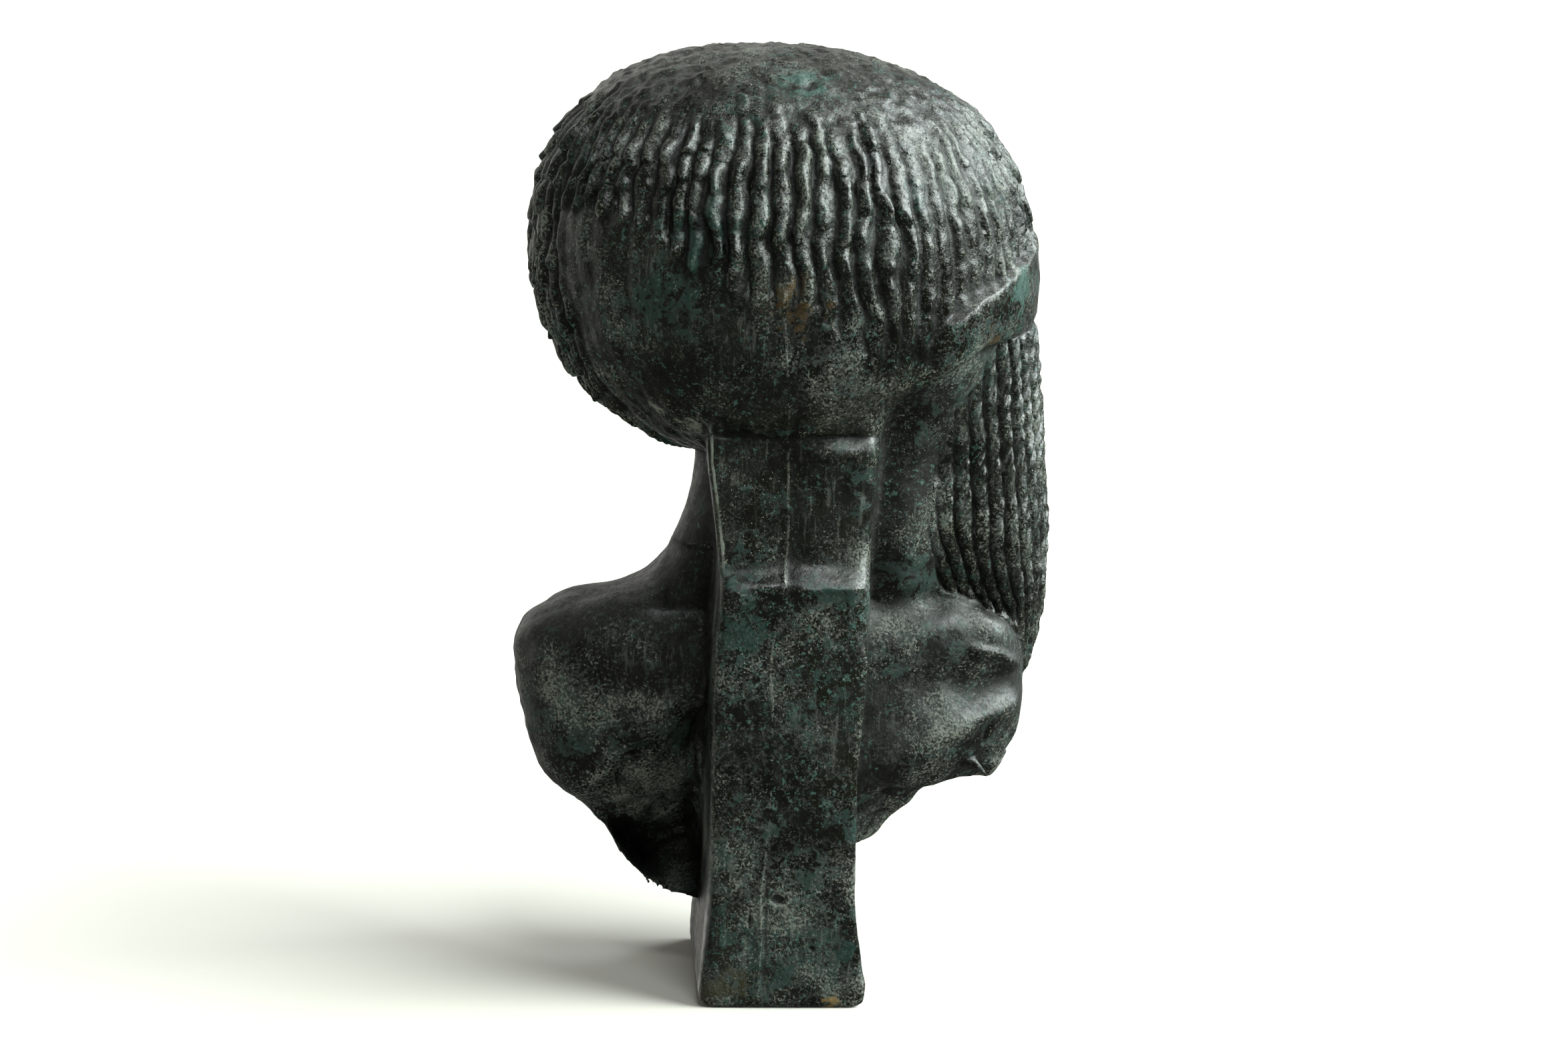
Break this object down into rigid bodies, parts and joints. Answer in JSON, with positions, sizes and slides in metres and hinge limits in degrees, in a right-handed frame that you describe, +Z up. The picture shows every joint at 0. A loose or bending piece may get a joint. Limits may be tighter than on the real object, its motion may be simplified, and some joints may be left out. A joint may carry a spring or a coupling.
{
  "type": "female bust",
  "caption": "Cast bust of a woman in a full round wig with a side lock, broken off below the shoulders, standing on the foot of its back pillar.",
  "frame": {"origin": "centre of the foot's underside", "axes": "+Z up, the face looks along -Y, +X is the figure's own left"},
  "size_m": [0.0999, 0.0877, 0.1705],
  "materials": {
    "patina": "cast stone with a dark green-black waxed patina, verdigris patches and rubbed grey ridges, satin"
  },
  "bodies": {
    "root": {"bust": "patina"}
  },
  "joints": []
}
